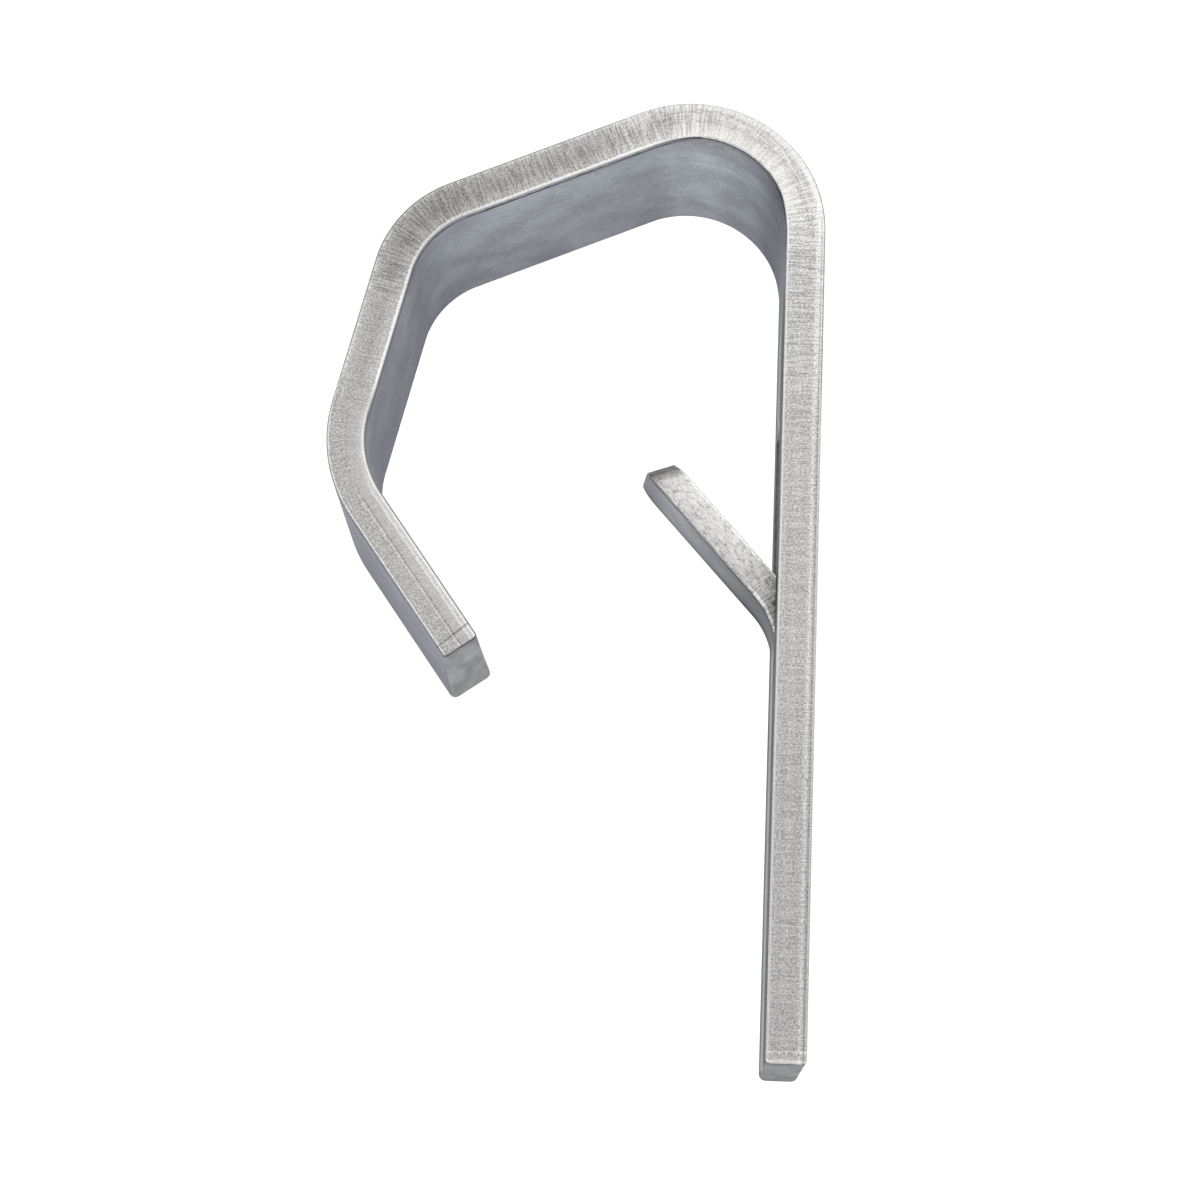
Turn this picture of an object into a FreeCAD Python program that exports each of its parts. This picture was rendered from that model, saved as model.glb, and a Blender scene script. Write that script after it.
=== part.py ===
import FreeCAD, Part
import math
import os
import Sketcher

# A crank retainer clip: one flat steel strip bent into a five-sided hook on a long straight leg,
# with a tab cut out of the leg's middle and bent out towards the hook's mouth.
#
# The clip lies on one edge of the strip, so the strip's width stands up along Z.
# While it is drawn, X = 0 is the leg's back, Y = 0 is the leg's foot, and the hook opens towards -X.
# At the end it is moved so that the middle of its footprint is the origin.

SIZES = {
    "strip_thickness": 4.76,
    "strip_width": 25.4,
    "leg_straight": 102.1,
    "crown_turn": 113.6,
    "crown_outer_radius": 16.5,
    "crown_inner_radius": 12.2,
    "crown_straight": 25.7,
    "shoulder_turn": 53.6,
    "shoulder_outer_radius": 14.8,
    "shoulder_inner_radius": 11.3,
    "side_straight": 18.8,
    "elbow_turn": 48.5,
    "elbow_outer_radius": 18.3,
    "elbow_inner_radius": 12.7,
    "lip_straight": 21.0,
    "end_lean": 1.7,
    "end_corner_radius": 0.8,
    "lower_edge_radius": 0.8,
    "upper_edge_radius": 0.4,
    "tab_width": 9.5,
    "tab_thickness": 3.7,
    "tab_root_height": 51.0,
    "tab_root_radius": 9.5,
    "tab_lean": 42.1,
    "tab_straight": 21.5,
    "tab_tip_slant": 25.0,
    "tab_corner_radius": 2.5,
    "tab_edge_radius": 0.5,
    "window_clearance": 0.25,
    "window_length": 30.0,
}

NODE = "retainer_clip"
SHEET = "sizes"
NEAR = 1e-4

# Names for the ends and the middle of a sketch line or arc.
START = 1
END = 2
CENTRE = 3
ORIGIN = -1
Y_AXIS = -2


def make_sheet(doc):
    """Writes every driving size into the sheet, one row each."""
    sheet = doc.addObject("Spreadsheet::Sheet", SHEET)
    for row, (name, value) in enumerate(SIZES.items(), 1):
        sheet.set(f"A{row}", name)
        sheet.set(f"B{row}", str(value))
        sheet.setAlias(f"B{row}", name)
    doc.recompute()
    return sheet


def origin_plane(body, role):
    return next(item for item in body.Origin.OriginFeatures if item.Role == role)


def new_sketch(body, name, role):
    sketch = body.newObject("Sketcher::SketchObject", name)
    sketch.AttachmentSupport = [(origin_plane(body, role), "")]
    sketch.MapMode = "FlatFace"
    return sketch


def joined(sketch, first, first_end, second, second_end):
    sketch.addConstraint(Sketcher.Constraint("Coincident", first, first_end, second, second_end))


def smooth(sketch, first, first_end, second, second_end):
    sketch.addConstraint(Sketcher.Constraint("Tangent", first, first_end, second, second_end))


def relation(sketch, kind, *parts):
    sketch.addConstraint(Sketcher.Constraint(kind, *parts))


def bound(sketch, kind, parts, name, formula, value):
    """A dimension that follows the sheet."""
    index = sketch.addConstraint(Sketcher.Constraint(kind, *parts, value))
    sketch.renameConstraint(index, name)
    sketch.setExpression(f"Constraints.{name}", formula)


def direction(angle):
    return FreeCAD.Vector(math.cos(angle), math.sin(angle), 0)


def line(start, finish):
    return Part.LineSegment(start, finish)


def arc(centre, radius, start_angle, finish_angle):
    circle = Part.Circle(centre, FreeCAD.Vector(0, 0, 1), radius)
    return Part.ArcOfCircle(circle, start_angle, finish_angle)


# The strip seen from its edge: the outer line runs up the leg, over the crown, down the side and
# along the lip, and the inner line comes back one thickness inside it.
# Each bend has its own outer and inner radius, each matched to the line it gives, so the strip is not
# quite one thickness round a bend: a little over it at the crown and shoulder, under it at the elbow.
def outer_corners():
    """The three corners that the outer line would have with no bends, and its two ends."""
    bends = (
        ("leg_straight", "crown_turn", "crown_outer_radius"),
        ("crown_straight", "shoulder_turn", "shoulder_outer_radius"),
        ("side_straight", "elbow_turn", "elbow_outer_radius"),
    )
    heading = math.pi / 2
    corners = [FreeCAD.Vector(0, 0, 0)]
    headings = [heading]
    lead = 0.0
    for straight, turn, radius in bends:
        angle = math.radians(SIZES[turn])
        setback = SIZES[radius] * math.tan(angle / 2)
        corners.append(corners[-1] + direction(heading) * (lead + SIZES[straight] + setback))
        lead = setback
        heading += angle
        headings.append(heading)
    corners.append(corners[-1] + direction(heading) * (lead + SIZES["lip_straight"]))
    return corners, headings


def inner_corners(corners, headings):
    """The same corners, moved inwards by the strip's thickness."""
    depth = SIZES["strip_thickness"]
    inward = [direction(angle + math.pi / 2) for angle in headings]
    moved = [corners[0] + inward[0] * depth]
    for index in range(1, len(corners) - 1):
        before = inward[index - 1]
        after = inward[index]
        moved.append(corners[index] + (before + after) * (depth / (1 + before.dot(after))))
    moved.append(corners[-1] + inward[-1] * depth)
    return moved


def bent_line(corners, headings, radii):
    """Straights and arcs in turn, from the foot to the lip's end."""
    pieces = []
    start = corners[0]
    for index, radius in enumerate(radii, 1):
        turn = headings[index] - headings[index - 1]
        setback = radius * math.tan(turn / 2)
        finish = corners[index] - direction(headings[index - 1]) * setback
        centre = finish + direction(headings[index - 1] + math.pi / 2) * radius
        first = headings[index - 1] - math.pi / 2
        pieces.append(line(start, finish))
        pieces.append(arc(centre, radius, first, first + turn))
        start = corners[index] + direction(headings[index]) * setback
    pieces.append(line(start, corners[-1]))
    return pieces


def strip_sketch(body):
    sketch = new_sketch(body, "strip_profile", "XY_Plane")
    corners, headings = outer_corners()
    inside = inner_corners(corners, headings)
    bends = ("crown", "shoulder", "elbow")
    outer = bent_line(corners, headings, [SIZES[f"{bend}_outer_radius"] for bend in bends])
    inner = bent_line(inside, headings, [SIZES[f"{bend}_inner_radius"] for bend in bends])
    pieces = outer + [line(corners[-1], inside[-1])] + inner + [line(inside[0], corners[0])]
    for piece in pieces:
        sketch.addGeometry(piece, False)
    lip_end = len(outer)
    first_inner = lip_end + 1
    foot = first_inner + len(inner)

    for first in range(len(outer) - 1):
        smooth(sketch, first, END, first + 1, START)
        smooth(sketch, first_inner + first, END, first_inner + first + 1, START)
    joined(sketch, lip_end - 1, END, lip_end, START)
    joined(sketch, lip_end, END, foot - 1, END)
    joined(sketch, first_inner, START, foot, START)
    joined(sketch, foot, END, 0, START)
    joined(sketch, 0, START, ORIGIN, START)
    relation(sketch, "Vertical", 0)
    relation(sketch, "Vertical", first_inner)
    relation(sketch, "Horizontal", foot)
    relation(sketch, "Perpendicular", lip_end - 1, lip_end)

    leg, crown, side, lip = 0, 2, 4, 6
    for straight in (crown, side, lip):
        relation(sketch, "Parallel", straight, first_inner + straight)
    thickness = SIZES["strip_thickness"]
    bound(sketch, "Distance", (foot,), "foot_thickness", "sizes.strip_thickness", thickness)
    bound(sketch, "Distance", (lip_end,), "lip_thickness", "sizes.strip_thickness", thickness)
    bound(sketch, "Distance", (first_inner + crown, START, crown), "crown_thickness",
          "sizes.strip_thickness", thickness)
    bound(sketch, "Distance", (first_inner + side, START, side), "side_thickness",
          "sizes.strip_thickness", thickness)
    for straight, name in ((leg, "leg"), (crown, "crown"), (side, "side"), (lip, "lip")):
        key = f"{name}_straight"
        bound(sketch, "Distance", (straight,), key, f"sizes.{key}", SIZES[key])
    for order, name in enumerate(bends):
        bend = 2 * order + 1
        for start, where in ((0, "outer"), (first_inner, "inner")):
            key = f"{name}_{where}_radius"
            bound(sketch, "Radius", (start + bend,), key, f"sizes.{key}", SIZES[key])
        key = f"{name}_turn"
        bound(sketch, "Angle", (bend,), key, f"sizes.{key} * 1 deg", math.radians(SIZES[key]))
    return sketch


# The window that the tab leaves in the leg, drawn on the leg's back: Y runs across the sketch and
# Z up it. Its top corners have the tip's radius, because the same punch cuts both.
def window_sketch(body):
    sketch = new_sketch(body, "window_profile", "YZ_Plane")
    half = SIZES["tab_width"] / 2 + SIZES["window_clearance"]
    middle = SIZES["strip_width"] / 2
    low = SIZES["tab_root_height"]
    high = low + SIZES["window_length"]
    radius = SIZES["tab_corner_radius"]
    quarter = math.pi / 2
    left, right = middle - half, middle + half
    points = [
        FreeCAD.Vector(low, right, 0),
        FreeCAD.Vector(low, left, 0),
        FreeCAD.Vector(high - radius, left, 0),
        FreeCAD.Vector(high, left + radius, 0),
        FreeCAD.Vector(high, right - radius, 0),
        FreeCAD.Vector(high - radius, right, 0),
    ]
    sketch.addGeometry(line(points[0], points[1]), False)
    sketch.addGeometry(line(points[1], points[2]), False)
    lower = FreeCAD.Vector(high - radius, left + radius, 0)
    sketch.addGeometry(arc(lower, radius, -quarter, 0), False)
    sketch.addGeometry(line(points[3], points[4]), False)
    upper = FreeCAD.Vector(high - radius, right - radius, 0)
    sketch.addGeometry(arc(upper, radius, 0, quarter), False)
    sketch.addGeometry(line(points[5], points[0]), False)

    root, one_side, one_corner, top, other_corner, other_side = range(6)
    joined(sketch, root, END, one_side, START)
    smooth(sketch, one_side, END, one_corner, START)
    smooth(sketch, one_corner, END, top, START)
    smooth(sketch, top, END, other_corner, START)
    smooth(sketch, other_corner, END, other_side, START)
    joined(sketch, other_side, END, root, START)
    relation(sketch, "Vertical", root)
    relation(sketch, "Horizontal", one_side)
    relation(sketch, "Horizontal", other_side)
    relation(sketch, "Vertical", top)
    bound(sketch, "DistanceX", (ORIGIN, START, root, START), "root_height",
          "sizes.tab_root_height", low)
    bound(sketch, "DistanceX", (root, START, top, START), "length", "sizes.window_length", high - low)
    bound(sketch, "Radius", (one_corner,), "one_corner_radius", "sizes.tab_corner_radius", radius)
    bound(sketch, "Radius", (other_corner,), "other_corner_radius", "sizes.tab_corner_radius", radius)
    bound(sketch, "DistanceY", (ORIGIN, START, root, END), "lower_side",
          "(sizes.strip_width - sizes.tab_width) / 2 - sizes.window_clearance", left)
    bound(sketch, "DistanceY", (ORIGIN, START, root, START), "upper_side",
          "(sizes.strip_width + sizes.tab_width) / 2 + sizes.window_clearance", right)
    return sketch


# The tab seen from its edge: it grows from the leg's full thickness at the root, curves out of the
# window on the root radius and runs straight to its tip, drawn a little thinner than the strip.
# Its tip is cut at a slant, with the underside the longer.
def tab_sketch(body):
    sketch = new_sketch(body, "tab_profile", "XY_Plane")
    sketch.setExpression("AttachmentOffset.Base.z", "(sizes.strip_width - sizes.tab_width) / 2")
    thickness = SIZES["strip_thickness"]
    tab = SIZES["tab_thickness"]
    root = SIZES["tab_root_height"]
    radius = SIZES["tab_root_radius"]
    lean = math.radians(SIZES["tab_lean"])
    across = direction(lean)
    along = direction(lean + math.pi / 2)

    centre = FreeCAD.Vector(-thickness - radius, root, 0)
    under_start = centre + across * radius
    under_end = under_start + along * SIZES["tab_straight"]
    slant = math.radians(SIZES["tab_tip_slant"])
    over_end = under_end + across * tab - along * (tab * math.tan(slant))
    # The upper arc leaves the leg's back at the root and meets the upper straight.
    reach = over_end.x / math.sin(lean)
    back_height = over_end.y + reach * math.cos(lean)
    upper_radius = (back_height - root) / math.tan(lean / 2)
    upper_centre = FreeCAD.Vector(-upper_radius, root, 0)
    over_start = upper_centre + across * upper_radius

    sketch.addGeometry(line(FreeCAD.Vector(0, root, 0), FreeCAD.Vector(-thickness, root, 0)), False)
    sketch.addGeometry(arc(centre, radius, 0, lean), False)
    sketch.addGeometry(line(under_start, under_end), False)
    sketch.addGeometry(line(under_end, over_end), False)
    sketch.addGeometry(line(over_end, over_start), False)
    sketch.addGeometry(arc(upper_centre, upper_radius, 0, lean), False)

    root_line, under_arc, under, tip, over, over_arc = range(6)
    joined(sketch, root_line, END, under_arc, START)
    smooth(sketch, under_arc, END, under, START)
    joined(sketch, under, END, tip, START)
    joined(sketch, tip, END, over, START)
    smooth(sketch, over, END, over_arc, END)
    joined(sketch, over_arc, START, root_line, START)
    relation(sketch, "Horizontal", root_line)
    relation(sketch, "Parallel", under, over)
    relation(sketch, "PointOnObject", under_arc, CENTRE, root_line)
    relation(sketch, "PointOnObject", over_arc, CENTRE, root_line)
    relation(sketch, "PointOnObject", root_line, START, Y_AXIS)
    bound(sketch, "DistanceY", (ORIGIN, START, root_line, START), "root_height",
          "sizes.tab_root_height", root)
    bound(sketch, "Distance", (root_line,), "root_thickness", "sizes.strip_thickness", thickness)
    bound(sketch, "Radius", (under_arc,), "root_radius", "sizes.tab_root_radius", radius)
    bound(sketch, "Angle", (under_arc,), "lean", "sizes.tab_lean * 1 deg", lean)
    bound(sketch, "Distance", (under,), "straight", "sizes.tab_straight", SIZES["tab_straight"])
    bound(sketch, "Distance", (over, START, under), "thickness", "sizes.tab_thickness", tab)
    bound(sketch, "Angle", (under, END, tip, START), "tip_slant",
          "(90 - sizes.tab_tip_slant) * 1 deg", math.pi / 2 - slant)
    return sketch


def face_names(shape, wanted):
    return [f"Face{index}" for index, face in enumerate(shape.Faces, 1) if wanted(face)]


def edge_names(shape, wanted):
    return [f"Edge{index}" for index, edge in enumerate(shape.Edges, 1) if wanted(edge)]


def at_height(edge, height):
    return all(abs(vertex.Z - height) < NEAR for vertex in edge.Vertexes)


def round_edges(doc, body, name, base, edges, size):
    fillet = body.newObject("PartDesign::Fillet", name)
    fillet.Base = (base, edges)
    fillet.setExpression("Radius", f"sizes.{size}")
    doc.recompute()
    return fillet


def make_strip(doc, body):
    """The bent strip, with its two ends cut slightly out of square and its edges rounded."""
    sketch = strip_sketch(body)
    doc.recompute()
    pad = body.newObject("PartDesign::Pad", "strip")
    pad.Profile = sketch
    pad.setExpression("Length", "sizes.strip_width")
    doc.recompute()

    width = SIZES["strip_width"]
    end_area = SIZES["strip_thickness"] * width

    def is_end(face):
        return abs(face.Area - end_area) < NEAR

    def is_top(face):
        return abs(face.CenterOfMass.z - width) < NEAR

    lean = body.newObject("PartDesign::Draft", "out_of_square_ends")
    lean.Base = (pad, face_names(pad.Shape, is_end))
    lean.NeutralPlane = (pad, face_names(pad.Shape, is_top))
    lean.setExpression("Angle", "sizes.end_lean")
    doc.recompute()
    if lean.Shape.Volume > pad.Shape.Volume:
        lean.Reversed = True
        doc.recompute()

    def is_end_corner(edge):
        """The standing edges of the two ends, which the lean tilts a little."""
        if len(edge.Vertexes) != 2 or abs(edge.BoundBox.ZLength - width) > 1:
            return False
        return edge.Length > width + NEAR

    corners = edge_names(lean.Shape, is_end_corner)
    ends = round_edges(doc, body, "end_corners", lean, corners, "end_corner_radius")
    lower = edge_names(ends.Shape, lambda edge: at_height(edge, 0))
    rounded = round_edges(doc, body, "lower_edges", ends, lower, "lower_edge_radius")
    upper = edge_names(rounded.Shape, lambda edge: at_height(edge, width))
    return round_edges(doc, body, "upper_edges", rounded, upper, "upper_edge_radius")


def cut_window(doc, body, strip):
    """The window goes through the leg only."""
    sketch = window_sketch(body)
    doc.recompute()
    window = body.newObject("PartDesign::Pocket", "window")
    window.Profile = sketch
    window.setExpression("Length", "sizes.strip_thickness * 2")
    doc.recompute()
    if window.Shape.Volume > strip.Shape.Volume - NEAR:
        window.Reversed = True
        doc.recompute()
    return window


def add_tab(doc, body):
    """The tab, with the two corners of its tip and its long edges rounded."""
    sketch = tab_sketch(body)
    doc.recompute()
    tab = body.newObject("PartDesign::Pad", "tab")
    tab.Profile = sketch
    tab.setExpression("Length", "sizes.tab_width")
    doc.recompute()

    lean = math.radians(SIZES["tab_lean"])
    across = direction(lean)
    thickness = SIZES["tab_thickness"]

    tip_length = thickness / math.cos(math.radians(SIZES["tab_tip_slant"]))

    def is_tip_corner(edge):
        if len(edge.Vertexes) != 2 or abs(edge.Length - tip_length) > NEAR:
            return False
        run = edge.Vertexes[1].Point - edge.Vertexes[0].Point
        return abs(abs(run.dot(across)) - thickness) < NEAR

    corners = edge_names(tab.Shape, is_tip_corner)
    tip = round_edges(doc, body, "tab_corners", tab, corners, "tab_corner_radius")

    under_line = FreeCAD.Vector(-SIZES["strip_thickness"] - SIZES["tab_root_radius"],
                                SIZES["tab_root_height"], 0)
    under_depth = SIZES["tab_root_radius"]
    width = SIZES["tab_width"]
    low = (SIZES["strip_width"] - width) / 2

    def is_long_edge(edge):
        """The straight edges along the tab's two sides; the rest of its outline follows them."""
        if len(edge.Vertexes) != 2 or edge.Curve.TypeId != "Part::GeomLine":
            return False
        for vertex in edge.Vertexes:
            off = (vertex.Point - under_line).dot(across)
            on_face = min(abs(off - under_depth), abs(off - under_depth - thickness)) < NEAR
            on_side = min(abs(vertex.Z - low), abs(vertex.Z - low - width)) < NEAR
            if not (on_face and on_side):
                return False
        return True

    long_edges = edge_names(tip.Shape, is_long_edge)
    return round_edges(doc, body, "tab_edges", tip, long_edges, "tab_edge_radius")


def check(doc, body):
    for item in doc.Objects:
        bad = [state for state in item.State if state in ("Invalid", "Error")]
        if bad:
            raise RuntimeError(f"{item.Name} is {bad}")
    shape = body.Shape
    if shape.isNull() or not shape.isValid() or len(shape.Solids) != 1:
        raise RuntimeError(f"{body.Label} has no single sound solid")


def make_clip(doc):
    body = doc.addObject("PartDesign::Body", NODE)
    body.Label = NODE
    strip = make_strip(doc, body)
    opened = cut_window(doc, body, strip)
    if opened.Shape.Volume > strip.Shape.Volume - NEAR:
        raise RuntimeError("the window cuts nothing")
    finished = add_tab(doc, body)
    body.Tip = finished
    doc.recompute()
    middle = body.Shape.optimalBoundingBox().Center
    body.Placement = FreeCAD.Placement(FreeCAD.Vector(-middle.x, -middle.y, 0), FreeCAD.Rotation())
    doc.recompute()
    return body


document = FreeCAD.newDocument("crank_retainer_clip")
make_sheet(document)
clip = make_clip(document)
check(document, clip)
os.makedirs("parts", exist_ok=True)
clip.Shape.exportStep(f"parts/{NODE}.step")
outline = clip.Shape.optimalBoundingBox()
print(f"{NODE}: {outline.XLength:.2f} x {outline.YLength:.2f} x {outline.ZLength:.2f} mm, "
      f"{clip.Shape.Volume:.0f} mm3, moved by {clip.Placement.Base.x:.3f}, {clip.Placement.Base.y:.3f}")
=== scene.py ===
import bmesh
import bpy
import math
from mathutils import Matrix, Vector


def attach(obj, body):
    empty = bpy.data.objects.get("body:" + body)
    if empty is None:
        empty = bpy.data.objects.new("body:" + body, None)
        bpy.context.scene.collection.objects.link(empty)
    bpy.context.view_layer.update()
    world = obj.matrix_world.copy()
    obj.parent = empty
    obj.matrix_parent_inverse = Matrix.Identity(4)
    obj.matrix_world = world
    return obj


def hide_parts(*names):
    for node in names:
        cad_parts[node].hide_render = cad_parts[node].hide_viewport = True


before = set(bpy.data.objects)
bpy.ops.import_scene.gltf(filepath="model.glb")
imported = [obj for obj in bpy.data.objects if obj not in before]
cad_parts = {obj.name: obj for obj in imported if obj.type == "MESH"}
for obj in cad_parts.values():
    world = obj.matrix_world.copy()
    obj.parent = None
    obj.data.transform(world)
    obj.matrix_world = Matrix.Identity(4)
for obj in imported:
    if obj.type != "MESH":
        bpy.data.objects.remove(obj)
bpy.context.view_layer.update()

# The camera looks down on the clip where it lies on its edge, 15 degrees off straight down, from
# 0.38 m up. The lens and the place were worked out from the outline of the real clip.
camera_data = bpy.data.cameras.new("camera")
camera_data.lens = 93.1008
camera_data.sensor_width = 36.0
camera_data.clip_start = 0.01
camera_data.clip_end = 10.0
camera = bpy.data.objects.new("camera", camera_data)
camera.location = (0.013876, -0.100834, 0.382293)
camera.rotation_euler = (math.radians(15.0596), math.radians(0.9667), math.radians(2.2733))
bpy.context.scene.collection.objects.link(camera)
bpy.context.scene.camera = camera

# The strip of the clip: flat steel bar on edge, bent three times from a straight leg into a hook. It
# is swept from its cut section as the bar runs in the brake: up the leg, round the crown, along the
# arm, round the shoulder, down the side, round the elbow and out along the lip. Sizes are in mm.
THICKNESS = 4.76
WIDTH = 25.4
LEG = 102.1
BENDS = (
    {"name": "crown", "turn": 113.6, "outer": 16.5, "inner": 12.2, "then": 25.7, "steps": 40},
    {"name": "shoulder", "turn": 53.6, "outer": 14.8, "inner": 11.3, "then": 18.8, "steps": 20},
    {"name": "elbow", "turn": 48.5, "outer": 18.3, "inner": 12.7, "then": 21.0, "steps": 20},
)
WINDOW_FOOT = 51.0
WINDOW_TOP = 81.0
WINDOW_LOW = 7.7
WINDOW_HIGH = 17.7
FLARE = 0.65
FLARE_REACH = 3.2
FLARE_FLAT = 0.35
FLARE_CUTS = (FLARE_REACH, 1.8, 0.8)
UP = Vector((0, 0, 1))


def heading(angle):
    return Vector((math.cos(angle), math.sin(angle), 0))


def section_of(result):
    """The loose end that an extrude or a spin leaves, ready for the next one."""
    geom = result["geom"] if "geom" in result else result["geom_last"]
    return [part for part in geom if part.is_valid]


def points_of(geom):
    return [part for part in geom if isinstance(part, bmesh.types.BMVert)]


def faces_of(geom):
    return [part for part in geom if isinstance(part, bmesh.types.BMFace)]


def new_points(bm, before):
    return [vert for vert in bm.verts if vert not in before]


def run_straight(bm, geom, way):
    """Pushes the end section along a straight. A section left as a wall inside the bar is cut out."""
    old = faces_of(geom)
    made = section_of(bmesh.ops.extrude_face_region(bm, geom=old))
    bmesh.ops.translate(bm, verts=points_of(made), vec=way)
    inside = [face for face in old if face.is_valid and any(len(edge.link_faces) > 2 for edge in face.edges)]
    bmesh.ops.delete(bm, geom=inside, context="FACES")
    return made


def run_bend(bm, geom, centre, angle, steps):
    """Turns the end section about the bend's centre."""
    made = bmesh.ops.spin(bm, geom=geom, cent=centre, axis=UP, angle=angle, steps=steps,
                          use_merge=False, use_duplicate=False)
    return section_of(made)


def bend_reach(bend, from_middle):
    """How far the inner face lies from the outer bend's centre, at an angle from the bend's middle."""
    half = math.radians(bend["turn"]) / 2
    off = (THICKNESS + bend["inner"] - bend["outer"]) / math.cos(half)
    return -off * math.cos(from_middle) + math.sqrt(bend["inner"] ** 2 - (off * math.sin(from_middle)) ** 2)


def lay_out():
    """The outer line's straights and bends in turn, each with where it starts and which way it runs."""
    way = math.pi / 2
    point = heading(way) * LEG
    parts = [{"kind": "straight", "start": Vector((0, 0, 0)), "way": way, "length": LEG, "along": 0.0}]
    along = LEG
    for bend in BENDS:
        turn = math.radians(bend["turn"])
        centre = point + heading(way + math.pi / 2) * bend["outer"]
        length = turn * (bend["outer"] - THICKNESS / 2)
        parts.append({"kind": "bend", "start": point, "way": way, "length": length, "along": along,
                      "centre": centre, "turn": turn, "bend": bend})
        along += length
        way += turn
        point = centre + heading(way - math.pi / 2) * bend["outer"]
        parts.append({"kind": "straight", "start": point, "way": way, "length": bend["then"],
                      "along": along})
        point = point + heading(way) * bend["then"]
        along += bend["then"]
    return parts


def ease(value, low, high):
    """Nothing below one value, one above another and a smooth rise between them."""
    part = min(max((value - low) / (high - low), 0.0), 1.0)
    return part * part * (3 - 2 * part)


def crown_flare(from_middle, half, height):
    """The crown's inner rim is squeezed back toward the outer face, just under the upper edge."""
    near_rim = ease(height, WIDTH - FLARE_REACH, WIDTH)
    return FLARE * near_rim * (1 - ease(abs(from_middle), half * FLARE_FLAT, half))


STRIP = lay_out()
clip = bmesh.new()
corners = [clip.verts.new((x, 0, z)) for x, z in ((0, 0), (-THICKNESS, 0), (-THICKNESS, WIDTH), (0, WIDTH))]
clip.faces.new(corners)
for height in (WINDOW_LOW, WINDOW_HIGH, *(WIDTH - depth for depth in FLARE_CUTS)):
    bmesh.ops.bisect_plane(clip, geom=clip.verts[:] + clip.edges[:] + clip.faces[:],
                           plane_co=(0, 0, height), plane_no=UP)
end = clip.verts[:] + clip.edges[:] + clip.faces[:]
for level, next_level in ((0, WINDOW_FOOT), (WINDOW_FOOT, WINDOW_TOP), (WINDOW_TOP, LEG)):
    end = run_straight(clip, end, Vector((0, next_level - level, 0)))
for part in STRIP[1:]:
    if part["kind"] == "straight":
        end = run_straight(clip, end, heading(part["way"]) * part["length"])
        continue
    before = set(clip.verts)
    end = run_bend(clip, end, part["centre"], part["turn"], part["bend"]["steps"])
    for vert in new_points(clip, before):
        out = vert.co - part["centre"]
        height = out.z
        out.z = 0
        if out.length < part["bend"]["outer"] - THICKNESS / 2:
            angle = math.atan2(out.y, out.x)
            middle = part["way"] - math.pi / 2 + part["turn"] / 2
            off = (angle - middle + math.pi) % (2 * math.pi) - math.pi
            reach = bend_reach(part["bend"], off)
            if part["bend"]["name"] == "crown":
                reach += crown_flare(off, part["turn"] / 2, height)
            vert.co = part["centre"] + out.normalized() * reach + UP * height

# The shear leaves both ends a little out of square: the lower edge is the shorter one. It also
# squeezed the lip wider toward its lower edge, on the inner side. The ends' corners are rounded, less
# toward the upper edge, and so are the long rims. The foot is trimmed to the length of the solid.
END_LEAN = math.radians(1.7)
FOOT_TRIM = 0.011
LIP_SPREAD = 1.2
CORNER = 0.8
NEAR_CORNER = 0.5
CORNER_ZONE = CORNER * 1.1
CORNER_TURNS = WIDTH * 0.4
LOWER_RIM = 0.8
UPPER_RIM = 0.2
SHARP = math.radians(30)
CLOSE = 0.01
lip = STRIP[-1]
lip_way = heading(lip["way"])
lip_in = heading(lip["way"] + math.pi / 2)
lip_end = lip["start"] + lip_way * lip["length"]
for vert in clip.verts:
    short = (WIDTH - vert.co.z) * math.tan(END_LEAN)
    past = vert.co - lip_end
    if vert.co.y < CLOSE and vert.co.x > -THICKNESS - CLOSE:
        vert.co.y += short + FOOT_TRIM
    elif abs(past.dot(lip_way)) < CLOSE and past.xy.length < THICKNESS + 1:
        vert.co -= lip_way * short
        if past.dot(lip_in) > THICKNESS / 2:
            vert.co += lip_in * (LIP_SPREAD * (1 - vert.co.z / WIDTH))


def ridges(bm, wanted):
    """The sharp edges that pass a test."""
    found = []
    for edge in bm.edges:
        if len(edge.link_faces) == 2 and edge.calc_face_angle() > SHARP:
            if wanted(edge.verts[0].co, edge.verts[1].co):
                found.append(edge)
    return found


def round_over(bm, edges, radius, segments):
    bmesh.ops.bevel(bm, geom=edges, offset=radius, offset_type="OFFSET", segments=segments,
                    profile=0.5, affect="EDGES", material=-1, clamp_overlap=True)


def stands(a, b):
    """An upright edge climbs more than half a millimetre and runs less than one."""
    return abs(a.z - b.z) > 0.5 and (a - b).xy.length < 1


def square_up(verts):
    """The ends' corners are rounded less toward the upper edge, where the blade came in."""
    for vert in verts:
        short = (WIDTH - vert.co.z) * math.tan(END_LEAN)
        foot = vert.co.y < LEG / 2 and vert.co.x > -THICKNESS - 0.1
        shift = Vector((0, short)) if foot else (-lip_way * short).xy
        spread = THICKNESS + LIP_SPREAD * (1 - vert.co.z / WIDTH)
        for corner in ((0, 0), (-THICKNESS, 0), lip_end.xy, (lip_end + lip_in * spread).xy):
            point = Vector(corner) + shift
            away = vert.co.xy - point
            if away.length < CORNER_ZONE:
                keep = 1 - (1 - NEAR_CORNER / CORNER) * ease(vert.co.z, CORNER_TURNS, WIDTH)
                vert.co.xy = point + away * keep


bmesh.ops.recalc_face_normals(clip, faces=clip.faces[:])
round_over(clip, ridges(clip, stands), CORNER, 3)
square_up(clip.verts)
round_over(clip, ridges(clip, lambda a, b: max(a.z, b.z) < CLOSE), LOWER_RIM, 4)
round_over(clip, ridges(clip, lambda a, b: min(a.z, b.z) > WIDTH - CLOSE), UPPER_RIM, 3)

# The window in the leg: punched through the middle of the leg's width when the tab was cut free.
# Its two upper corners have the punch's radius.
PUNCH_CORNER = 2.5


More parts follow.
